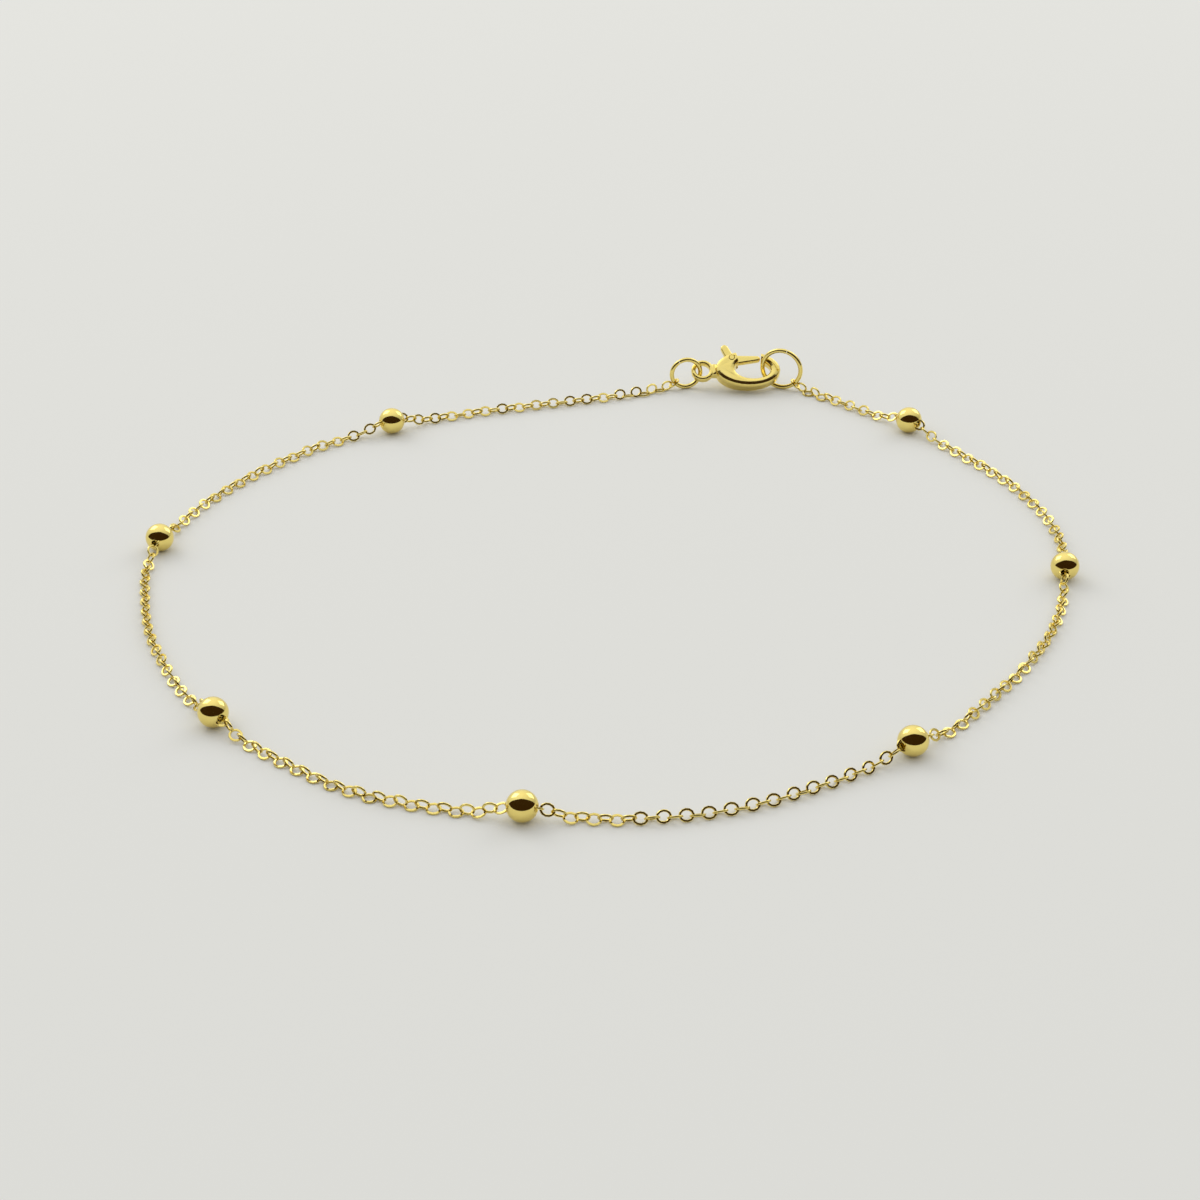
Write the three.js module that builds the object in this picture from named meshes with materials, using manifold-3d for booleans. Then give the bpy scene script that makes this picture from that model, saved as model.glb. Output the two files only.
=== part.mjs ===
// A beaded anklet: seven hollow round beads threaded on one fine cable chain, closed by a lobster
// clasp between two jump rings, lying on a flat surface as it was laid down.
// Millimetres, +Z up. The origin is on that surface, in the middle of the loop.
import * as THREE from "three";
import { mergeVertices } from "three/addons/utils/BufferGeometryUtils.js";
import Module from "manifold-3d";

const wasm = await Module();
wasm.setup();

// Beads
const BEAD_DIAMETER = 2.5;
const BEAD_WALL = 0.3;
const BEAD_SIDES = 14;
const OUTER_ARC_STEPS = 8;
const INNER_ARC_STEPS = 4;

// Chain: the tube is the outside of the interlocked links, eight-sided with a flat side down
const CHAIN_WIDTH = 0.9;
const CHAIN_SIDES = 8;
const CHAIN_STEP = 3.8;
const BORE_CLEARANCE = 0.09;
const LANDING_LENGTH = 3.4;
const LINK_LENGTH = 1.27;
const LINK_WIDTH = 1.1;
const LINK_WIRE = 0.205;
const LINK_DEPTH = 0.16;

// Jump rings
const RING_WIRE = 0.45;
const SMALL_RING_DIAMETER = 3.4;
const LARGE_RING_DIAMETER = 4.4;
const RING_SIDES = 16;
const WIRE_SIDES = 6;
const SMALL_RING_TURN = 192;
const LARGE_RING_TURN = -18;

// Lobster clasp
const CLASP_LENGTH = 9;
const CLASP_WIDTH = 4;
const CLASP_THICKNESS = 1.8;
const CLASP_TILT = 37;
const EYE_DIAMETER = 2.3;
const EYE_HOLE = 1.4;
const EYE_THICKNESS = 0.75;
const EYE_ROUND = 0.16;
const NECK_WIDTH = 1.35;
const NECK_THICKNESS = 1.05;
const NECK_ROUND = 0.3;
const BODY_LENGTH = 6.6;
const CLAW_WALL = 1;
const CLAW_THICKNESS = 1.2;
const SPINE_WALL = 0.95;
const OPENING_LENGTH = 3.6;
const MOUTH_LENGTH = 2.1;
const NOSE_BEVEL = 0.3;
const NOSE_LEAN = 0.1;
const CHEEK_LEAN = 0.9;
const EDGE_ROUND = 0.4;

// Lever and its pin
const LEVER_THICKNESS = 0.6;
const LEVER_BAR_WIDTH = 0.6;
const LEVER_BOSS_DIAMETER = 1.1;
const LEVER_SIDE_GAP = 0.1;
const LEVER_TIP_GAP = 0.06;
const TAB_RISE = 1.4;
const TAB_DIAMETER = 0.76;
const PIN_DIAMETER = 0.5;
const PIN_CLEARANCE = 0.05;
const PIVOT_INSET = 0.85;
const PIVOT_SETBACK = 0.3;
const MOUTH_SETBACK = 0.3;
const SLOT_REACH = 0.5;
const SLOT_OVERLAP = 0.1;
const NUB_WIDTH = 0.9;
const LEVER_ROUND = 0.15;

// Gap kept between interlocked pieces
const INTERLOCK_GAP = 0.1;

// The middle of the clasp's length, and the chain's route round the loop: the beads' centres, and the
// points that each stretch of chain passes on its way to the next bead or to the clasp
const CLASP_MIDDLE = [13.1, 37.8];
const ROUTE = [
  { passes: [[3.2, 35.6], [-1.8, 34], [-7.6, 32.5], [-13.6, 30.8], [-17.4, 29.3]], bead: [-20.9, 27.4] },
  { passes: [[-24.8, 25.4], [-28.6, 22.5], [-31.9, 19], [-35.1, 14.9], [-37.9, 9.6]], bead: [-39.8, 3.6] },
  { passes: [[-40.3, -1], [-39.7, -5.6], [-38.5, -11.2], [-36.7, -15.9], [-34.3, -20.7]], bead: [-31.1, -25.2] },
  { passes: [[-27.9, -28.5], [-24.4, -31.4], [-19.5, -34.8], [-14.8, -36.6], [-10.3, -37.6]], bead: [-6.4, -38.1] },
  { passes: [[-2.8, -38.4], [1.6, -38.6], [6.1, -38.1], [10.6, -36.9], [15.3, -34.7], [20.1, -31.8]], bead: [23.6, -29.3] },
  { passes: [[27, -26.4], [30.4, -22.3], [33.7, -17.7], [36.6, -12.8], [38.7, -7.4]], bead: [39.9, -1.6] },
  { passes: [[40.5, 3.2], [40.4, 6.8], [39.6, 10.8], [37.7, 15.7], [34.4, 21]], bead: [29.5, 27.6] },
  { passes: [[26, 30.9]], bead: null },
];

const UP = new THREE.Vector3(0, 0, 1);
const GOLD = { color: 0xe9c163, metalness: 1 };
const chainGold = new THREE.MeshStandardMaterial({ ...GOLD, roughness: 0.2 });
const beadGold = new THREE.MeshStandardMaterial({ ...GOLD, roughness: 0.08 });
const claspGold = new THREE.MeshStandardMaterial({ ...GOLD, roughness: 0.14 });

// A geometry whose shared vertices are merged, as a solid that can be joined and cut
function solidOf(geometry) {
  const bare = geometry.index ? geometry.toNonIndexed() : geometry.clone();
  bare.deleteAttribute("normal");
  bare.deleteAttribute("uv");
  const merged = mergeVertices(bare, 1e-5);
  const mesh = new wasm.Mesh({
    numProp: 3,
    vertProperties: new Float32Array(merged.attributes.position.array),
    triVerts: new Uint32Array(merged.index.array),
  });
  return new wasm.Manifold(mesh);
}

// A solid as a geometry that can be drawn
function geometryOf(solid) {
  const mesh = solid.getMesh();
  const geometry = new THREE.BufferGeometry();
  geometry.setAttribute("position", new THREE.BufferAttribute(mesh.vertProperties, 3));
  geometry.setIndex(new THREE.BufferAttribute(mesh.triVerts, 1));
  geometry.computeVertexNormals();
  return geometry;
}

function piece(name, geometry, material) {
  const mesh = new THREE.Mesh(geometry, material);
  mesh.name = name;
  return mesh;
}

// A flat outline as a plate of the given thickness about z 0, with its edges rounded
function plate(shape, thickness, round, curveSegments) {
  const geometry = new THREE.ExtrudeGeometry(shape, {
    depth: thickness - 2 * round,
    bevelEnabled: round > 0,
    bevelThickness: round,
    bevelSize: round,
    bevelOffset: -round,
    bevelSegments: 2,
    curveSegments,
  });
  return geometry.translate(0, 0, round - thickness / 2);
}

function ellipse(x, y, halfLength, halfWidth) {
  const shape = new THREE.Shape();
  shape.absellipse(x, y, halfLength, halfWidth, 0, 2 * Math.PI, false, 0);
  return shape;
}

function ellipseHole(x, y, halfLength, halfWidth) {
  const path = new THREE.Path();
  path.absellipse(x, y, halfLength, halfWidth, 0, 2 * Math.PI, true, 0);
  return path;
}

function polygon(points) {
  return new THREE.Shape(points.map(([x, y]) => new THREE.Vector2(x, y)));
}

// Two circles joined by their common outside, as a shape: the form of a lever's arm
function arm(start, startRadius, end, endRadius) {
  const along = Math.atan2(end[1] - start[1], end[0] - start[0]);
  const length = Math.hypot(end[0] - start[0], end[1] - start[1]);
  const flare = Math.acos((startRadius - endRadius) / length);
  const shape = new THREE.Shape();
  shape.absarc(start[0], start[1], startRadius, along + flare, along - flare + 2 * Math.PI, false);
  shape.absarc(end[0], end[1], endRadius, along - flare, along + flare, false);
  return shape;
}

// The clasp lies in its own frame: x from the eye to the claw, y towards the lever, z its thickness
const eyeCentre = EYE_DIAMETER / 2;
const bodyCentre = CLASP_LENGTH - BODY_LENGTH / 2;
const clawInside = CLASP_LENGTH - CLAW_WALL;
const openingCentre = clawInside - OPENING_LENGTH / 2;
const openingHalfWidth = CLASP_WIDTH / 2 - SPINE_WALL;
const bossRadius = LEVER_BOSS_DIAMETER / 2;
const pivot = [openingCentre - OPENING_LENGTH / 2 - PIVOT_SETBACK, CLASP_WIDTH / 2 - PIVOT_INSET];
const mouthStart = pivot[0] + bossRadius + MOUTH_SETBACK;
const mouthEnd = mouthStart + MOUTH_LENGTH;

function claspBody() {
  const outline = ellipse(bodyCentre, 0, BODY_LENGTH / 2, CLASP_WIDTH / 2);
  outline.holes.push(ellipseHole(openingCentre, 0, OPENING_LENGTH / 2, openingHalfWidth));
  const loop = plate(outline, CLASP_THICKNESS, EDGE_ROUND, 14);
  const place = loop.attributes.position;
  for (let i = 0; i < place.count; i += 1) {
    const share = Math.max(0, (place.getX(i) - pivot[0]) / (CLASP_LENGTH - pivot[0]));
    const thickness = THREE.MathUtils.lerp(CLASP_THICKNESS, CLAW_THICKNESS, share);
    place.setZ(i, (place.getZ(i) * thickness) / CLASP_THICKNESS);
  }

  const eyeOutline = ellipse(eyeCentre, 0, EYE_DIAMETER / 2, EYE_DIAMETER / 2);
  eyeOutline.holes.push(ellipseHole(eyeCentre, 0, EYE_HOLE / 2, EYE_HOLE / 2));
  const eye = plate(eyeOutline, EYE_THICKNESS, EYE_ROUND, 8);

  const neckStart = eyeCentre + (EYE_DIAMETER + EYE_HOLE) / 4;
  const neckEnd = pivot[0] - bossRadius;
  const neckOutline = polygon([
    [neckStart, -NECK_WIDTH / 2],
    [neckEnd, -NECK_WIDTH / 2],
    [neckEnd, NECK_WIDTH / 2],
    [neckStart, NECK_WIDTH / 2],
  ]);
  const neck = plate(neckOutline, NECK_THICKNESS, NECK_ROUND, 4);

  const beyond = CLASP_WIDTH;
  const mouth = plate(
    polygon([
      [mouthStart, 0],
      [mouthEnd - NOSE_BEVEL, 0],
      [mouthEnd, openingHalfWidth],
      [mouthEnd + NOSE_LEAN, beyond],
      [mouthStart - CHEEK_LEAN, beyond],
    ]),
    2 * CLASP_THICKNESS,
    0,
    1,
  );
  const slotStart = pivot[0] - bossRadius - SLOT_REACH;
  const slotEnd = mouthStart + SLOT_OVERLAP;
  const slotFloor = pivot[1] - bossRadius - LEVER_SIDE_GAP;
  const slot = plate(
    polygon([
      [slotStart, slotFloor],
      [slotEnd, slotFloor],
      [slotEnd, beyond],
      [slotStart, beyond],
    ]),
    LEVER_THICKNESS + 2 * LEVER_SIDE_GAP,
    0,
    1,
  );
  const holeRadius = PIN_DIAMETER / 2 + PIN_CLEARANCE;
  const pinHole = plate(ellipse(pivot[0], pivot[1], holeRadius, holeRadius), 2 * CLASP_THICKNESS, 0, 6);
  return geometryOf(
    solidOf(loop)
      .add(solidOf(eye))
      .add(solidOf(neck))
      .subtract(solidOf(mouth))
      .subtract(solidOf(slot))
      .subtract(solidOf(pinHole)),
  );
}

function claspLever() {
  const tipRadius = LEVER_BAR_WIDTH / 2;
  const tip = [mouthEnd - LEVER_TIP_GAP - tipRadius, openingHalfWidth + tipRadius];
  const tab = [pivot[0] - TAB_RISE / 2, pivot[1] + TAB_RISE];
  const bar = plate(arm(pivot, bossRadius, tip, tipRadius), LEVER_THICKNESS, LEVER_ROUND, 8);
  const nub = plate(arm(pivot, NUB_WIDTH / 2, tab, TAB_DIAMETER / 2), LEVER_THICKNESS, LEVER_ROUND, 8);
  const holeRadius = PIN_DIAMETER / 2 + PIN_CLEARANCE;
  const hole = plate(ellipse(pivot[0], pivot[1], holeRadius, holeRadius), 2 * LEVER_THICKNESS, 0, 6);
  return geometryOf(solidOf(bar).add(solidOf(nub)).subtract(solidOf(hole)));
}

function claspPin() {
  const pin = new THREE.CylinderGeometry(PIN_DIAMETER / 2, PIN_DIAMETER / 2, CLASP_THICKNESS, 12);
  return pin.rotateX(Math.PI / 2).translate(pivot[0], pivot[1], 0);
}

// The clasp rests on its spine's edge, tilted about its length, with the lever's tab up
const tilt = THREE.MathUtils.degToRad(CLASP_TILT);
const claspHeight =
  (CLASP_WIDTH / 2 - EDGE_ROUND) * Math.sin(tilt) +
  (CLASP_THICKNESS / 2 - EDGE_ROUND) * Math.cos(tilt) +
  EDGE_ROUND;
const clasp = new THREE.Group();
clasp.position.set(CLASP_MIDDLE[0] - CLASP_LENGTH / 2, CLASP_MIDDLE[1], claspHeight);
clasp.rotation.set(tilt, 0, 0);
clasp.add(piece("clasp_body", claspBody(), claspGold));
clasp.add(piece("clasp_lever", claspLever(), claspGold));
clasp.add(piece("clasp_pin", claspPin(), claspGold));
clasp.updateMatrixWorld(true);

// A jump ring stands on the surface, in an upright plane through a seat on the clasp's axis.
// outwards is the level direction from the seat to the ring's centre.
function jumpRing(name, diameter, turn, centreOf) {
  const meanRadius = (diameter - RING_WIRE) / 2;
  const yaw = THREE.MathUtils.degToRad(turn);
  const outwards = new THREE.Vector3(Math.cos(yaw), Math.sin(yaw), 0);
  const centre = centreOf(meanRadius, outwards, diameter / 2);
  const geometry = new THREE.TorusGeometry(meanRadius, RING_WIRE / 2, WIRE_SIDES, RING_SIDES);
  const ring = piece(name, geometry, chainGold);
  ring.quaternion.setFromRotationMatrix(
    new THREE.Matrix4().makeBasis(outwards, UP, new THREE.Vector3().crossVectors(outwards, UP)),
  );
  ring.position.copy(centre);
  return { ring, centre, outwards, meanRadius };
}

function onClaspAxis(x) {
  return new THREE.Vector3(x, 0, 0).applyMatrix4(clasp.matrixWorld);
}

// The small ring's wire passes through the eye, clear of its far wall
const smallRing = jumpRing("jump_ring_small", SMALL_RING_DIAMETER, SMALL_RING_TURN, (radius, outwards, height) => {
  const play = EYE_HOLE / 2 - RING_WIRE / 2 - 2.5 * INTERLOCK_GAP;
  const seat = onClaspAxis(eyeCentre - play);
  const reach = Math.sqrt(radius ** 2 - (height - seat.z) ** 2);
  return new THREE.Vector3(seat.x, seat.y, height).addScaledVector(outwards, reach);
});

// The large ring's wire passes round the claw's end wall, whose lower inside corner it clears
const largeRing = jumpRing("jump_ring_large", LARGE_RING_DIAMETER, LARGE_RING_TURN, (radius, outwards, height) => {
  const corner = onClaspAxis(clawInside);
  corner.z -= CLAW_THICKNESS / 2 / Math.cos(tilt);
  const inside = radius - RING_WIRE / 2 - INTERLOCK_GAP;
  const reach = Math.sqrt(inside ** 2 - (height - corner.z) ** 2);
  return new THREE.Vector3(corner.x, corner.y, height).addScaledVector(outwards, reach);
});

// The last link of each end of the chain lies round its ring's wire, low on the outside of the ring
function endLink({ centre, outwards, meanRadius }) {
  const rest = CHAIN_WIDTH / 2;
  const play = LINK_LENGTH / 2 - LINK_WIRE - RING_WIRE / 2 - INTERLOCK_GAP;
  const farEnd = meanRadius + play + LINK_LENGTH / 2 - LINK_WIRE;
  const drop = Math.asin((centre.z - rest) / farEnd);
  const along = outwards.clone().multiplyScalar(Math.cos(drop)).addScaledVector(UP, -Math.sin(drop));
  const side = new THREE.Vector3().crossVectors(UP, outwards);
  const normal = new THREE.Vector3().crossVectors(along, side);
  const outline = ellipse(0, 0, LINK_LENGTH / 2, LINK_WIDTH / 2);
  outline.holes.push(ellipseHole(0, 0, LINK_LENGTH / 2 - LINK_WIRE, LINK_WIDTH / 2 - LINK_WIRE));
  const link = plate(outline, LINK_DEPTH, 0, 7);
  const middle = centre.clone().addScaledVector(along, meanRadius + play);
  link.applyMatrix4(new THREE.Matrix4().makeBasis(along, side, normal).setPosition(middle));
  return { link, chainStart: centre.clone().addScaledVector(along, farEnd) };
}

const startLink = endLink(smallRing);
const finishLink = endLink(largeRing);

// The route seen from above, and how far along it each bead lies
const LENGTH_SAMPLES = 4000;
const routePoints = [startLink.chainStart.clone()];
const beadAt = [];
for (const { passes, bead } of ROUTE) {
  for (const [x, y] of passes) routePoints.push(new THREE.Vector3(x, y, 0));
  if (bead) {
    beadAt.push(routePoints.length);
    routePoints.push(new THREE.Vector3(bead[0], bead[1], 0));
  }
}
routePoints.push(finishLink.chainStart.clone());
for (const point of routePoints) point.z = 0;
const plan = new THREE.CatmullRomCurve3(routePoints, false, "centripetal");
plan.arcLengthDivisions = LENGTH_SAMPLES;
const planLengths = plan.getLengths();
const chainLength = plan.getLength();
const beadStations = beadAt.map(
  (index) => planLengths[Math.round((index / (routePoints.length - 1)) * LENGTH_SAMPLES)],
);

// The chain lies on the surface and rises to each bead's centre, where it runs level through the bead
function chainHeight(station) {
  const rest = CHAIN_WIDTH / 2;
  const away = Math.min(...beadStations.map((bead) => Math.abs(station - bead)));
  const landed = THREE.MathUtils.clamp((away - BEAD_DIAMETER / 2) / LANDING_LENGTH, 0, 1);
  return rest + (BEAD_DIAMETER / 2 - rest) * (1 - landed) ** 2;
}

// Where the tube has its sections: at each bead's middle, mouths and landings, and evenly between
function chainStations() {
  const mouth = BEAD_DIAMETER / 2;
  const marks = [0, mouth, mouth + LANDING_LENGTH * 0.4, mouth + LANDING_LENGTH];
  const fixed = [0, chainLength];
  for (const bead of beadStations) {
    for (const mark of marks) fixed.push(bead - mark, bead + mark);
  }
  const sorted = [...new Set(fixed)].filter((s) => s >= 0 && s <= chainLength).sort((a, b) => a - b);
  const stations = [sorted[0]];
  for (let i = 1; i < sorted.length; i += 1) {
    const gap = sorted[i] - sorted[i - 1];
    const parts = Math.max(1, Math.round(gap / CHAIN_STEP));
    for (let k = 1; k <= parts; k += 1) stations.push(sorted[i - 1] + (gap * k) / parts);
  }
  return stations;
}

// The laid chain's centre line, whose spaced points are the stations, with one side always level
class LaidChain extends THREE.Curve {
  constructor(stations) {
    super();
    this.stations = stations;
  }

  getUtoTmapping(u) {
    return u;
  }

  getPoint(t, target = new THREE.Vector3()) {
    const place = t * (this.stations.length - 1);
    const index = Math.min(Math.floor(place), this.stations.length - 2);
    const station = THREE.MathUtils.lerp(this.stations[index], this.stations[index + 1], place - index);
    plan.getPointAt(station / chainLength, target);
    target.z = chainHeight(station);
    return target;
  }

  computeFrenetFrames(segments) {
    const tangents = [];
    const normals = [];
    const binormals = [];
    for (let i = 0; i <= segments; i += 1) {
      const before = this.getPoint(Math.max(0, i - 1) / segments);
      const after = this.getPoint(Math.min(segments, i + 1) / segments);
      const tangent = after.sub(before).normalize();
      const side = new THREE.Vector3().crossVectors(UP, tangent).normalize();
      tangents.push(tangent);
      normals.push(side);
      binormals.push(new THREE.Vector3().crossVectors(tangent, side));
    }
    return { tangents, normals, binormals };
  }
}

function chainTube() {
  const cornerRadius = CHAIN_WIDTH / 2 / Math.cos(Math.PI / CHAIN_SIDES);
  const corners = [];
  for (let i = 0; i < CHAIN_SIDES; i += 1) {
    const angle = ((i + 0.5) / CHAIN_SIDES) * 2 * Math.PI;
    corners.push([cornerRadius * Math.cos(angle), cornerRadius * Math.sin(angle)]);
  }
  const stations = chainStations();
  const tube = new THREE.ExtrudeGeometry(polygon(corners), {
    steps: stations.length - 1,
    extrudePath: new LaidChain(stations),
  });
  return geometryOf(solidOf(tube).add(solidOf(startLink.link)).add(solidOf(finishLink.link)));
}

// A hollow bead about the y axis, with a hole at each end that the chain passes through
function beadGeometry() {
  const radius = BEAD_DIAMETER / 2;
  const hole = CHAIN_WIDTH / 2 / Math.cos(Math.PI / CHAIN_SIDES) + BORE_CLEARANCE;
  const profile = [];
  const arc = (arcRadius, steps, sense) => {
    const limit = Math.acos(hole / arcRadius);
    for (let i = 0; i <= steps; i += 1) {
      const angle = sense * limit * ((2 * i) / steps - 1);
      profile.push(new THREE.Vector2(arcRadius * Math.cos(angle), arcRadius * Math.sin(angle)));
    }
  };
  arc(radius, OUTER_ARC_STEPS, 1);
  arc(radius - BEAD_WALL, INNER_ARC_STEPS, -1);
  profile.push(profile[0].clone());
  return new THREE.LatheGeometry(profile, BEAD_SIDES);
}

const anklet = new THREE.Group();
anklet.add(piece("chain", chainTube(), chainGold));

const bead = beadGeometry();
beadStations.forEach((station, i) => {
  const mesh = piece(`bead_${i + 1}`, bead, beadGold);
  mesh.position.copy(plan.getPointAt(station / chainLength)).setZ(BEAD_DIAMETER / 2);
  mesh.quaternion.setFromUnitVectors(
    new THREE.Vector3(0, 1, 0),
    plan.getTangentAt(station / chainLength).setZ(0).normalize(),
  );
  anklet.add(mesh);
});

anklet.add(smallRing.ring, largeRing.ring, clasp);

// The origin goes to the middle of the loop's box, on the surface that it lies on
const middle = new THREE.Box3().setFromObject(anklet, true).getCenter(new THREE.Vector3());
anklet.position.set(-middle.x, -middle.y, 0);

export default anklet;
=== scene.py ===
"""The beaded anklet as it lies on a pale surface: real chain links, polished hollow beads, jump rings and
a cast lobster clasp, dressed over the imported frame. Metres throughout."""

import math
import random

import bpy
from mathutils import Matrix, Vector


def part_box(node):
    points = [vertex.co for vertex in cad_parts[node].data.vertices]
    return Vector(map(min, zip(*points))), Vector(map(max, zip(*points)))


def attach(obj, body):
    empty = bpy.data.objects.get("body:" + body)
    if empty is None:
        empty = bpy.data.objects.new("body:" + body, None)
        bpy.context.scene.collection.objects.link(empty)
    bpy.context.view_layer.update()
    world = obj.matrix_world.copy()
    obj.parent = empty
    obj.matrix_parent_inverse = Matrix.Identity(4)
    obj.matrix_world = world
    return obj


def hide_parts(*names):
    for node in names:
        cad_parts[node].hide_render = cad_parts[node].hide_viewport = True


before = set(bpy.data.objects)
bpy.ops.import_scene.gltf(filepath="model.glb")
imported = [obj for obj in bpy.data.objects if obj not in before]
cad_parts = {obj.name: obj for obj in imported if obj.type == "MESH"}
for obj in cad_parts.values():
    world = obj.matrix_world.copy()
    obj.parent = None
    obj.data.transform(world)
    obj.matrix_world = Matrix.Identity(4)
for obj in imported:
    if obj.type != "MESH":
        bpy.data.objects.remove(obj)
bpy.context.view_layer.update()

MM = 0.001

# Chain links: an oval of wire rolled flat on both faces, so that its section has eight corners. The flat is the
# width of each face, and the rim is the height of each side
LINK_LENGTH = 1.27 * MM
LINK_WIDTH = 1.1 * MM
LINK_WIRE = 0.205 * MM
LINK_DEPTH = 0.16 * MM
LINK_FLAT = 0.13 * MM
LINK_RIM = 0.06 * MM
LINK_SIDES = 12
LINK_PITCH = 0.865 * MM
LINK_ROLL_PLAY = 10
LINK_YAW_PLAY = 6
LINK_CREASE = 45
PLAY_SEED = 11

# How far the chain is twisted from level on its way: the bead passed last and the share of the way to the
# next one, then degrees
TWIST = [
    (0, 0),
    (0.3, 45),
    (1, 45),
    (1.6, 60),
    (2.4, 38),
    (3.1, 18),
    (3.92, 14),
    (4.05, 50),
    (4.12, 20),
    (4.22, 22),
    (4.3, 52),
    (4.95, 50),
    (5.05, 56),
    (5.14, 14),
    (5.3, 44),
    (5.45, 20),
    (5.6, 66),
    (5.8, 30),
    (6.5, 60),
    (7, 42),
    (7.6, 45),
]

# How the chain lies
CHAIN_REST = 0.45 * MM
LANDING_LENGTH = 3.4 * MM
INTERLOCK_GAP = 0.1 * MM

# Beads
BEAD_RADIUS = 1.25 * MM
BEAD_WALL = 0.22 * MM
BEAD_HOLE = 0.56 * MM
BEAD_RIM = 0.05 * MM
BEAD_RIM_STEPS = 4
BEAD_RIM_CREASE = 35
BEAD_CREASE = 60
BEAD_TURN = 53
BALL_SEGMENTS = 64
BALL_RINGS = 48

# Jump rings
RING_WIRE = 0.45 * MM
SMALL_RING = {"node": "jump_ring_small", "radius": 1.475 * MM, "turn": 192, "slit": 60}
LARGE_RING = {"node": "jump_ring_large", "radius": 1.975 * MM, "turn": -18, "slit": 75}
RING_SLIT_ANGLE = 1.6
RING_STEPS = 64
RING_SECTION = 16
RING_CREASE = 50

# Clasp castings
CLASP_VOXEL = 0.036 * MM
CLASP_SMOOTH_STEPS = 16
CLASP_SMOOTH_SHARE = 0.5
MERGE_REACH = 0.0005 * MM

# The chain's route from the small ring round to the large one, as in the part: each stretch's points,
# and the bead that ends it
ROUTE = [
    ([(3.2, 35.6), (-1.8, 34), (-7.6, 32.5), (-13.6, 30.8), (-17.4, 29.3)], (-20.9, 27.4)),
    ([(-24.8, 25.4), (-28.6, 22.5), (-31.9, 19), (-35.1, 14.9), (-37.9, 9.6)], (-39.8, 3.6)),
    ([(-40.3, -1), (-39.7, -5.6), (-38.5, -11.2), (-36.7, -15.9), (-34.3, -20.7)], (-31.1, -25.2)),
    ([(-27.9, -28.5), (-24.4, -31.4), (-19.5, -34.8), (-14.8, -36.6), (-10.3, -37.6)], (-6.4, -38.1)),
    (
        [(-2.8, -38.4), (1.6, -38.6), (6.1, -38.1), (10.6, -36.9), (15.3, -34.7), (20.1, -31.8)],
        (23.6, -29.3),
    ),
    ([(27, -26.4), (30.4, -22.3), (33.7, -17.7), (36.6, -12.8), (38.7, -7.4)], (39.9, -1.6)),
    ([(40.5, 3.2), (40.4, 6.8), (39.6, 10.8), (37.7, 15.7), (34.4, 21)], (29.5, 27.6)),
    ([(26, 30.9)], None),
]
SAMPLES_PER_SPAN = 60

# The photograph's view
CAMERA_PLACE = Vector((-0.65, -187.7, 105)) * MM
CAMERA_PITCH = 30
CAMERA_LENS = 73.2
SENSOR_WIDTH = 36

# Colours, linear
GOLD = (0.93, 0.78, 0.27, 1)
GOLD_DEEP = (0.87, 0.68, 0.19, 1)
FLOOR_COLOUR = (0.8, 0.8, 0.775, 1)
CARD_COLOUR = (0.034, 0.017, 0.005, 1)
SKY_COLOUR = (1, 1, 0.985, 1)

# Each metal's least roughness, what wear adds to it, how fine its hairlines are, and its ripple's height
CHAIN_POLISH = (0.12, 0.1, 2600, 0.003 * MM)
BEAD_POLISH = (0.045, 0.06, 1800, 0.0015 * MM)
CLASP_POLISH = (0.11, 0.12, 1500, 0.006 * MM)
TARNISH_SCALE = 900
TARNISH_DETAIL = 4
HAIRLINE_STRETCH = (1, 9, 4)
HAIRLINE_TURN = (0.4, 0.7, 0.3)
HAIRLINE_DETAIL = 8
HAIRLINE_FAINT = 0.35
HAIRLINE_STRONG = 0.75
RIPPLE_SCALE = 650
RIPPLE_DETAIL = 2

# The floor
FLOOR_SIZE = 3
FLOOR_ROUGHNESS = 0.9

# Light round the anklet: its brightness in a level direction, and what height, the back and the left add
LEVEL_LIGHT = 0.45
LIGHT_FROM = {"X": -0.12, "Y": 0.36, "Z": 0.515}
LEAST_LIGHT = 0.05

# The dark card's distance, its reach to each side and up, in degrees, and how its top edge falls away
CARD_DISTANCE = 0.25
CARD_SIDE = 98
CARD_FOOT = 0.5
CARD_TOP = 75
CARD_SHOULDER = 3
CARD_SLOPE = 0.8
CARD_COLUMNS = 40
CARD_ROWS = 12

# Windows at the back: place and power
WINDOW_SIZE = (0.34, 0.4)
WINDOWS = {"window_left": ((-0.38, 0.39, 0.42), 0.65), "window_right": ((0.41, 0.44, 0.32), 0.5)}
WINDOW_COLOUR = (1, 0.99, 0.96)


# Small helpers


def select_only(*objects):
    bpy.ops.object.select_all(action="DESELECT")
    for obj in objects:
        obj.select_set(True)
    bpy.context.view_layer.objects.active = objects[-1]


def box_middle(node):
    low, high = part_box(node)
    return (Vector(low) + Vector(high)) / 2


def apply_place(obj):
    select_only(obj)
    bpy.ops.object.transform_apply(location=True, rotation=True, scale=True)


def apply_modifiers(obj):
    select_only(obj)
    for modifier in list(obj.modifiers):
        bpy.ops.object.modifier_apply(modifier=modifier.name)


def dress(piece, body, slot, material, *nodes):
    """Gives a finished piece its metal and its body, and hides the CAD nodes that it stands for."""
    piece.data.materials.clear()
    piece.data.materials.append(material)
    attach(piece, body)
    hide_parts(*nodes)


# Metals


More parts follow.
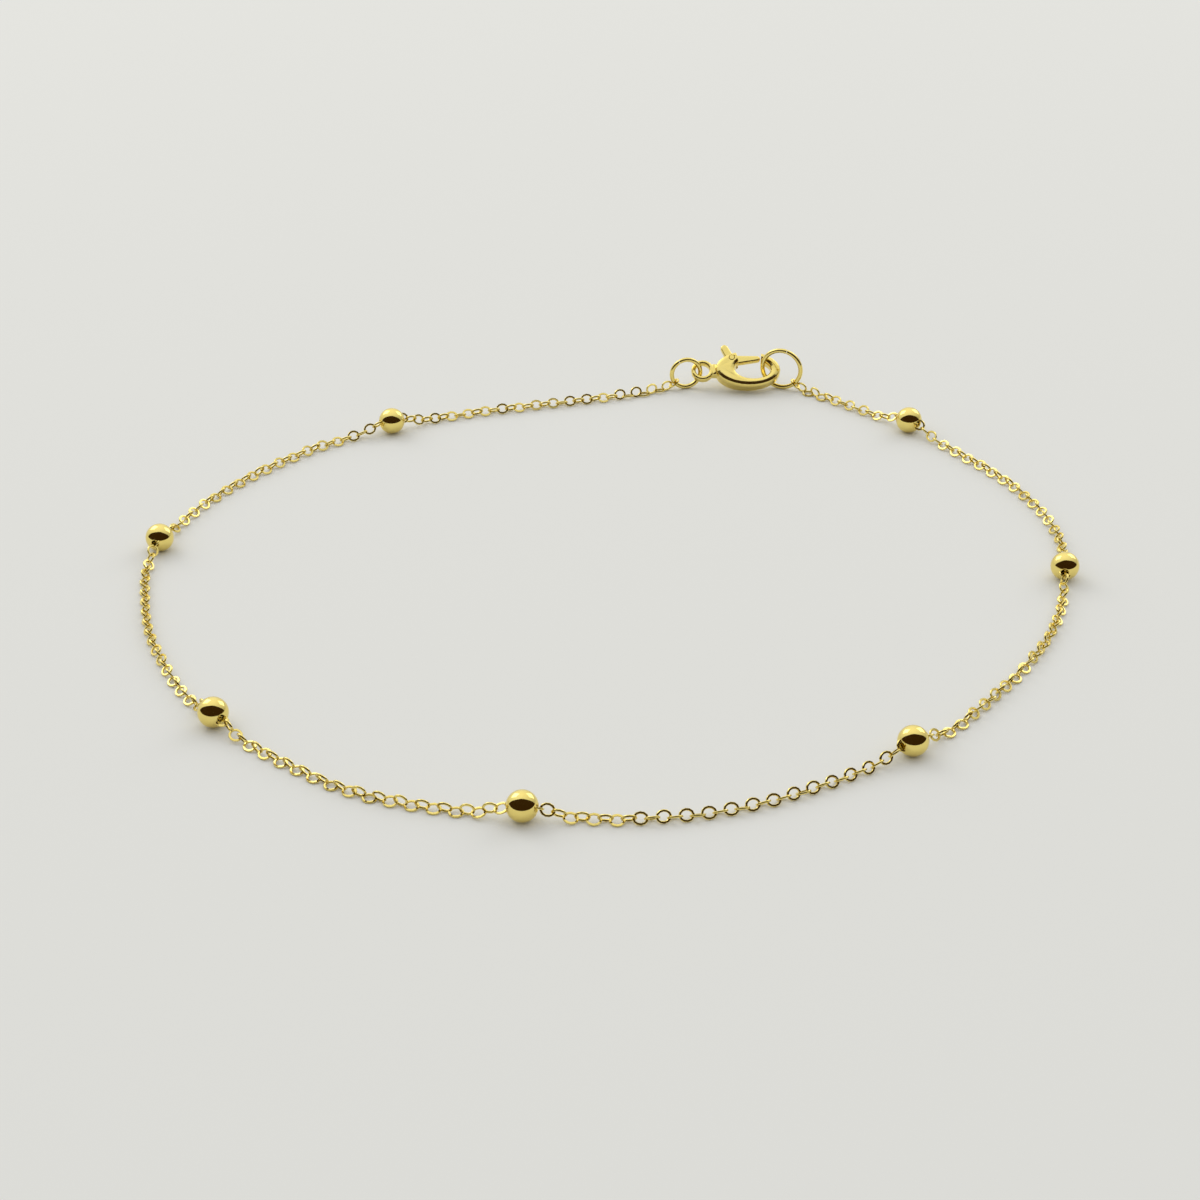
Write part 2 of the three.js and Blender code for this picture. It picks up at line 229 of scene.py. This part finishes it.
def polished_gold(name, roughness, wear, scratch_scale, ripple):
    """Gold with faint tarnish in patches, hairline scratches and a barely uneven polish."""
    material = bpy.data.materials.new(name)
    material.use_nodes = True
    nodes = material.node_tree.nodes
    links = material.node_tree.links
    shader = nodes["Principled BSDF"]
    shader.inputs["Metallic"].default_value = 1
    place = nodes.new("ShaderNodeTexCoord")

    patches = nodes.new("ShaderNodeTexNoise")
    patches.inputs["Scale"].default_value = TARNISH_SCALE
    patches.inputs["Detail"].default_value = TARNISH_DETAIL
    links.new(place.outputs["Object"], patches.inputs["Vector"])
    tone = nodes.new("ShaderNodeMix")
    tone.data_type = "RGBA"
    tone.inputs[6].default_value = GOLD
    tone.inputs[7].default_value = GOLD_DEEP
    links.new(patches.outputs["Fac"], tone.inputs[0])
    links.new(tone.outputs[2], shader.inputs["Base Color"])

    stretch = nodes.new("ShaderNodeMapping")
    stretch.inputs["Scale"].default_value = HAIRLINE_STRETCH
    stretch.inputs["Rotation"].default_value = HAIRLINE_TURN
    links.new(place.outputs["Object"], stretch.inputs["Vector"])
    hairlines = nodes.new("ShaderNodeTexNoise")
    hairlines.inputs["Scale"].default_value = scratch_scale
    hairlines.inputs["Detail"].default_value = HAIRLINE_DETAIL
    links.new(stretch.outputs["Vector"], hairlines.inputs["Vector"])
    gloss = nodes.new("ShaderNodeMapRange")
    gloss.inputs["From Min"].default_value = HAIRLINE_FAINT
    gloss.inputs["From Max"].default_value = HAIRLINE_STRONG
    gloss.inputs["To Min"].default_value = roughness
    gloss.inputs["To Max"].default_value = roughness + wear
    links.new(hairlines.outputs["Fac"], gloss.inputs["Value"])
    links.new(gloss.outputs["Result"], shader.inputs["Roughness"])

    uneven = nodes.new("ShaderNodeTexNoise")
    uneven.inputs["Scale"].default_value = RIPPLE_SCALE
    uneven.inputs["Detail"].default_value = RIPPLE_DETAIL
    links.new(place.outputs["Object"], uneven.inputs["Vector"])
    relief = nodes.new("ShaderNodeBump")
    relief.inputs["Strength"].default_value = 1
    relief.inputs["Distance"].default_value = ripple
    links.new(uneven.outputs["Fac"], relief.inputs["Height"])
    links.new(relief.outputs["Normal"], shader.inputs["Normal"])
    return material


# The chain's line


class Line:
    """A smooth line through points on the surface, measured along its length."""

    def __init__(self, points):
        self.points = [Vector(point) for point in points]
        self.marks = []
        self.places = []
        travelled = 0
        before = None
        last_span = len(points) - 2
        for span in range(last_span + 1):
            samples = SAMPLES_PER_SPAN + 1 if span == last_span else SAMPLES_PER_SPAN
            for step in range(samples):
                here = self.on_span(span, step / SAMPLES_PER_SPAN)
                if before is not None:
                    travelled += (here - before).length
                self.marks.append(travelled)
                self.places.append(here)
                before = here
        self.length = travelled

    def on_span(self, span, share):
        """Centripetal spline between two neighbouring points."""
        near, far = self.points[span], self.points[span + 1]
        back = self.points[span - 1] if span > 0 else 2 * near - far
        on = self.points[span + 2] if span + 2 < len(self.points) else 2 * far - near
        gap_back, gap, gap_on = ((b - a).length ** 0.5 for a, b in ((back, near), (near, far), (far, on)))
        leave = (near - back) / gap_back - (far - back) / (gap_back + gap) + (far - near) / gap
        reach = (far - near) / gap - (on - near) / (gap + gap_on) + (on - far) / gap_on
        leave, reach = leave * gap, reach * gap
        square = 3 * (far - near) - 2 * leave - reach
        cube = 2 * (near - far) + leave + reach
        return near + share * (leave + share * (square + share * cube))

    def at(self, station):
        station = min(max(station, 0), self.length)
        low, high = 0, len(self.marks) - 1
        while high - low > 1:
            half = (low + high) // 2
            low, high = (half, high) if self.marks[half] <= station else (low, half)
        share = (station - self.marks[low]) / (self.marks[high] - self.marks[low])
        return self.places[low].lerp(self.places[high], share)

    def mark(self, index):
        return self.marks[index * SAMPLES_PER_SPAN]


def end_of_chain(ring):
    """Where the last link hangs on its ring, low on the ring's outer side, and where the chain starts."""
    centre = box_middle(ring["node"])
    yaw = math.radians(ring["turn"])
    outwards = Vector((math.cos(yaw), math.sin(yaw), 0))
    play = LINK_LENGTH / 2 - LINK_WIRE - RING_WIRE / 2 - INTERLOCK_GAP
    far_end = ring["radius"] + play + LINK_LENGTH / 2 - LINK_WIRE
    drop = math.asin((centre.z - CHAIN_REST) / far_end)
    along = outwards * math.cos(drop) - Vector((0, 0, math.sin(drop)))
    return centre + along * (ring["radius"] + play), along, centre + along * far_end


def chain_line():
    """The line, and how far along it each bead lies."""
    shift = box_middle("bead_1") - Vector((*ROUTE[0][1], 0)) * MM
    points = [end_of_chain(SMALL_RING)[2]]
    beads = []
    for passes, bead in ROUTE:
        points += [Vector((*place, 0)) * MM + shift for place in passes]
        if bead:
            beads.append(len(points))
            points.append(Vector((*bead, 0)) * MM + shift)
    points.append(end_of_chain(LARGE_RING)[2])
    line = Line([Vector((point.x, point.y, 0)) for point in points])
    return line, [line.mark(index) for index in beads]


def chain_height(station, beads):
    away = min(abs(station - bead) for bead in beads)
    landed = min(max((away - BEAD_RADIUS) / LANDING_LENGTH, 0), 1)
    return (BEAD_RADIUS - CHAIN_REST) * (1 - landed) ** 2


# The chain


def one_link():
    """An oval of wire rolled flat on both faces, lying level with its length along X."""
    middle = (LINK_WIDTH - LINK_WIRE) / 2
    stretch = (LINK_LENGTH - LINK_WIDTH) / 2
    flat = (LINK_FLAT / 2, LINK_DEPTH / 2)
    rim = (LINK_WIRE / 2, LINK_RIM / 2)
    quarter = [rim, flat]
    section = quarter + [(-x, z) for x, z in reversed(quarter)]
    section += [(-x, -z) for x, z in quarter] + [(x, -z) for x, z in reversed(quarter)]
    bpy.ops.object.select_all(action="DESELECT")
    bpy.ops.mesh.primitive_torus_add(
        major_segments=LINK_SIDES,
        minor_segments=len(section),
        major_radius=middle,
        minor_radius=LINK_WIRE / 2,
    )
    link = bpy.context.object
    for vertex in link.data.vertices:
        outwards, height = section[vertex.index % len(section)]
        angle = 2 * math.pi * (vertex.index // len(section)) / LINK_SIDES
        across = middle + outwards
        vertex.co = ((across + stretch) * math.cos(angle), across * math.sin(angle), height)
    select_only(link)
    bpy.ops.object.shade_smooth_by_angle(angle=math.radians(LINK_CREASE))
    return link


def link_frame(place, along, roll):
    """A link's place: its length along the chain, turned about it by roll degrees from level."""
    side = Vector((0, 0, 1)).cross(along).normalized()
    up = along.cross(side)
    turn = math.radians(roll)
    across = side * math.cos(turn) + up * math.sin(turn)
    matrix = Matrix((along, across, along.cross(across))).transposed().to_4x4()
    matrix.translation = place
    return matrix


def rest_height(roll):
    """How high a link's middle is when its edge rests on the surface."""
    turn = math.radians(roll)
    return LINK_WIDTH / 2 * abs(math.sin(turn)) + LINK_DEPTH / 2 * abs(math.cos(turn))


def twist_at(station, knots):
    """The chain's twist there, turning smoothly from one knot to the next."""
    for (near, low), (far, high) in zip(knots, knots[1:]):
        if station <= far:
            share = (station - near) / (far - near)
            return low + (high - low) * share * share * (3 - 2 * share)
    return knots[-1][1]


def chain_links(line, beads):
    count = round(line.length / LINK_PITCH)
    pitch = line.length / count
    chance = random.Random(PLAY_SEED)
    ends = [0, *beads, line.length]
    knots = []
    for at, turn in TWIST:
        near, far = ends[int(at)], ends[int(at) + 1]
        knots.append((near + (at % 1) * (far - near), turn))
    # The last link stands square to the level one that hangs on the large ring
    knots.append((line.length, 90 if count % 2 == 0 else 0))
    model = one_link()
    links = []

    def lay(place, along, roll):
        link = bpy.data.objects.new("link", model.data.copy())
        bpy.context.scene.collection.objects.link(link)
        link.data.transform(link_frame(place, along, roll))
        links.append(link)

    for index in range(count):
        station = (index + 0.5) * pitch
        roll = twist_at(station, knots) + chance.uniform(-LINK_ROLL_PLAY, LINK_ROLL_PLAY)
        if index % 2 == 0:
            roll -= 90
        rise = chain_height(station, beads)
        place = line.at(station) + Vector((0, 0, rest_height(roll) + rise))
        behind = line.at(station - pitch / 2) + Vector((0, 0, chain_height(station - pitch / 2, beads)))
        ahead = line.at(station + pitch / 2) + Vector((0, 0, chain_height(station + pitch / 2, beads)))
        along = (ahead - behind).normalized()
        yaw = math.radians(chance.uniform(-LINK_YAW_PLAY, LINK_YAW_PLAY))
        along.rotate(Matrix.Rotation(yaw, 3, "Z"))
        lay(place, along, roll)

    for ring in (SMALL_RING, LARGE_RING):
        place, along, _ = end_of_chain(ring)
        lay(place, along, 0)

    bpy.data.objects.remove(model)
    select_only(*links)
    bpy.ops.object.join()
    chain = bpy.context.object
    chain.name = "chain_links"
    return chain


# Beads


def bead_model():
    """A hollow ball with a hole through it along X and a softly turned rim at each end."""
    reach = math.sqrt(BEAD_RADIUS**2 - BEAD_HOLE**2)
    bpy.ops.object.select_all(action="DESELECT")
    bpy.ops.mesh.primitive_uv_sphere_add(segments=BALL_SEGMENTS, ring_count=BALL_RINGS, radius=BEAD_RADIUS)
    ball = bpy.context.object
    bpy.ops.object.mode_set(mode="EDIT")
    for end in (1, -1):
        bpy.ops.mesh.select_all(action="SELECT")
        bpy.ops.mesh.bisect(
            plane_co=(0, 0, end * reach), plane_no=(0, 0, end), clear_outer=True, use_fill=False
        )
    bpy.ops.object.mode_set(mode="OBJECT")
    ball.data.transform(Matrix.Rotation(math.radians(90), 4, "Y"))
    wall = ball.modifiers.new("wall", "SOLIDIFY")
    wall.thickness = BEAD_WALL
    wall.offset = -1
    rim = ball.modifiers.new("rim", "BEVEL")
    rim.width = BEAD_RIM
    rim.segments = BEAD_RIM_STEPS
    rim.limit_method = "ANGLE"
    rim.angle_limit = math.radians(BEAD_RIM_CREASE)
    apply_modifiers(ball)
    bpy.ops.object.shade_smooth_by_angle(angle=math.radians(BEAD_CREASE))
    return ball


def beads_on(line, stations, metal):
    model = bead_model()
    for number, station in enumerate(stations, 1):
        along = (line.at(station + BEAD_RADIUS / 2) - line.at(station - BEAD_RADIUS / 2)).normalized()
        side = Vector((0, 0, 1)).cross(along)
        turn = Matrix((along, side, Vector((0, 0, 1)))).transposed().to_4x4()
        turn.translation = line.at(station) + Vector((0, 0, BEAD_RADIUS))
        roll = Matrix.Rotation(math.radians(BEAD_TURN * number), 4, "X")
        bead = bpy.data.objects.new(f"ball_{number}", model.data.copy())
        bpy.context.scene.collection.objects.link(bead)
        bead.data.transform(turn @ roll)
        dress(bead, "anklet", "bead_gold", metal, f"bead_{number}")
    bpy.data.objects.remove(model)


# Jump rings


def open_ring(ring, name):
    """A ring bent from round wire, whose two cut ends meet with a fine slit."""
    bpy.ops.object.select_all(action="DESELECT")
    bpy.ops.mesh.primitive_circle_add(
        vertices=RING_SECTION,
        radius=RING_WIRE / 2,
        fill_type="NGON",
        location=(ring["radius"], 0, 0),
        rotation=(math.radians(90), 0, 0),
    )
    wire = bpy.context.object
    apply_place(wire)
    bpy.ops.object.mode_set(mode="EDIT")
    bpy.ops.mesh.select_all(action="SELECT")
    bpy.ops.mesh.spin(
        steps=RING_STEPS,
        angle=math.radians(360 - RING_SLIT_ANGLE),
        center=(0, 0, 0),
        axis=(0, 0, 1),
    )
    bpy.ops.mesh.select_all(action="SELECT")
    bpy.ops.mesh.normals_make_consistent(inside=False)
    bpy.ops.object.mode_set(mode="OBJECT")
    select_only(wire)
    bpy.ops.object.shade_smooth_by_angle(angle=math.radians(RING_CREASE))
    yaw = math.radians(ring["turn"])
    outwards = Vector((math.cos(yaw), math.sin(yaw), 0))
    up = Vector((0, 0, 1))
    stand = Matrix((outwards, up, outwards.cross(up))).transposed().to_4x4()
    stand.translation = box_middle(ring["node"])
    wire.data.transform(stand @ Matrix.Rotation(math.radians(ring["slit"]), 4, "Z"))
    wire.name = name
    return wire


# Clasp


def casting(node, name):
    """A cast and tumbled copy of a clasp part, with its edges run softly together."""
    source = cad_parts[node]
    cast = bpy.data.objects.new(name, source.data.copy())
    bpy.context.scene.collection.objects.link(cast)
    select_only(cast)
    bpy.ops.object.mode_set(mode="EDIT")
    bpy.ops.mesh.select_all(action="SELECT")
    bpy.ops.mesh.remove_doubles(threshold=MERGE_REACH)
    bpy.ops.object.mode_set(mode="OBJECT")
    skin = cast.modifiers.new("skin", "REMESH")
    skin.mode = "VOXEL"
    skin.voxel_size = CLASP_VOXEL
    soften = cast.modifiers.new("soften", "SMOOTH")
    soften.factor = CLASP_SMOOTH_SHARE
    soften.iterations = CLASP_SMOOTH_STEPS
    apply_modifiers(cast)
    bpy.ops.object.shade_smooth()
    return cast


# Surroundings


def pale_floor():
    bpy.ops.mesh.primitive_plane_add(size=FLOOR_SIZE, location=(0, 0, 0))
    floor = bpy.context.object
    floor.name = "floor"
    material = bpy.data.materials.new("pale_floor")
    material.use_nodes = True
    shader = material.node_tree.nodes["Principled BSDF"]
    shader.inputs["Base Color"].default_value = FLOOR_COLOUR
    shader.inputs["Roughness"].default_value = FLOOR_ROUGHNESS
    shader.inputs["Specular IOR Level"].default_value = 0
    floor.data.materials.append(material)


def dark_card():
    """A curved dark card behind the camera that only reflections see, for contrast in the polished metal."""
    bpy.ops.object.select_all(action="DESELECT")
    bpy.ops.mesh.primitive_grid_add(x_subdivisions=CARD_COLUMNS, y_subdivisions=CARD_ROWS, size=2)
    card = bpy.context.object
    card.name = "dark_card"
    for vertex in card.data.vertices:
        aside = vertex.co.x
        share = (vertex.co.y + 1) / 2
        top = CARD_TOP * (1 - min(abs(aside), 1) ** CARD_SHOULDER) ** CARD_SLOPE
        turn = math.radians(aside * CARD_SIDE)
        rise = math.radians(CARD_FOOT + share * top)
        level = Vector((math.sin(turn), -math.cos(turn), 0)) * math.cos(rise)
        vertex.co = (level + Vector((0, 0, math.sin(rise)))) * CARD_DISTANCE
    material = bpy.data.materials.new("dark_card")
    material.use_nodes = True
    nodes = material.node_tree.nodes
    glow = nodes.new("ShaderNodeEmission")
    glow.inputs["Color"].default_value = CARD_COLOUR
    material.node_tree.links.new(glow.outputs["Emission"], nodes["Material Output"].inputs["Surface"])
    card.data.materials.append(material)
    card.visible_camera = False
    card.visible_diffuse = False
    card.visible_shadow = False


def window(name, place, power):
    lamp = bpy.data.lights.new(name, "AREA")
    lamp.shape = "RECTANGLE"
    lamp.size, lamp.size_y = WINDOW_SIZE
    lamp.energy = power
    lamp.color = WINDOW_COLOUR
    light = bpy.data.objects.new(name, lamp)
    bpy.context.scene.collection.objects.link(light)
    light.location = place
    light.rotation_euler = (-Vector(place)).to_track_quat("-Z", "Y").to_euler()


def studio():
    """Pale light all round, brighter from above and from the back, with two windows at the back."""
    scene = bpy.context.scene
    scene.view_settings.view_transform = "Standard"
    world = bpy.data.worlds.new("studio")
    scene.world = world
    world.use_nodes = True
    nodes = world.node_tree.nodes
    links = world.node_tree.links
    back = nodes["Background"]
    direction = nodes.new("ShaderNodeTexCoord")
    axes = nodes.new("ShaderNodeSeparateXYZ")
    links.new(direction.outputs["Generated"], axes.inputs["Vector"])
    level = None
    for axis, share in LIGHT_FROM.items():
        add = nodes.new("ShaderNodeMath")
        add.operation = "MULTIPLY_ADD"
        links.new(axes.outputs[axis], add.inputs[0])
        add.inputs[1].default_value = share
        if level is None:
            add.inputs[2].default_value = LEVEL_LIGHT
        else:
            links.new(level.outputs["Value"], add.inputs[2])
        level = add
    back.inputs["Color"].default_value = SKY_COLOUR
    least = nodes.new("ShaderNodeMath")
    least.operation = "MAXIMUM"
    least.inputs[1].default_value = LEAST_LIGHT
    links.new(level.outputs["Value"], least.inputs[0])
    links.new(least.outputs["Value"], back.inputs["Strength"])
    for name, (place, power) in WINDOWS.items():
        window(name, place, power)


def photo_camera():
    lens = bpy.data.cameras.new("camera")
    lens.lens = CAMERA_LENS
    lens.sensor_width = SENSOR_WIDTH
    lens.clip_start = 0.005
    camera = bpy.data.objects.new("camera", lens)
    bpy.context.scene.collection.objects.link(camera)
    camera.location = CAMERA_PLACE
    camera.rotation_euler = (math.radians(90 - CAMERA_PITCH), 0, 0)
    bpy.context.scene.camera = camera


def build():
    photo_camera()
    chain_metal = polished_gold("chain_gold", *CHAIN_POLISH)
    bead_metal = polished_gold("bead_gold", *BEAD_POLISH)
    clasp_metal = polished_gold("clasp_gold", *CLASP_POLISH)

    line, stations = chain_line()
    dress(chain_links(line, stations), "anklet", "chain_gold", chain_metal, "chain")
    beads_on(line, stations, bead_metal)
    dress(open_ring(SMALL_RING, "small_ring"), "anklet", "chain_gold", chain_metal, "jump_ring_small")
    dress(open_ring(LARGE_RING, "large_ring"), "anklet", "chain_gold", chain_metal, "jump_ring_large")
    dress(casting("clasp_body", "body_casting"), "anklet", "clasp_gold", clasp_metal, "clasp_body")
    dress(casting("clasp_lever", "lever_casting"), "lever", "clasp_gold", clasp_metal, "clasp_lever")
    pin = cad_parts["clasp_pin"]
    pin.data.materials.clear()
    pin.data.materials.append(clasp_metal)

    pale_floor()
    dark_card()
    studio()


build()
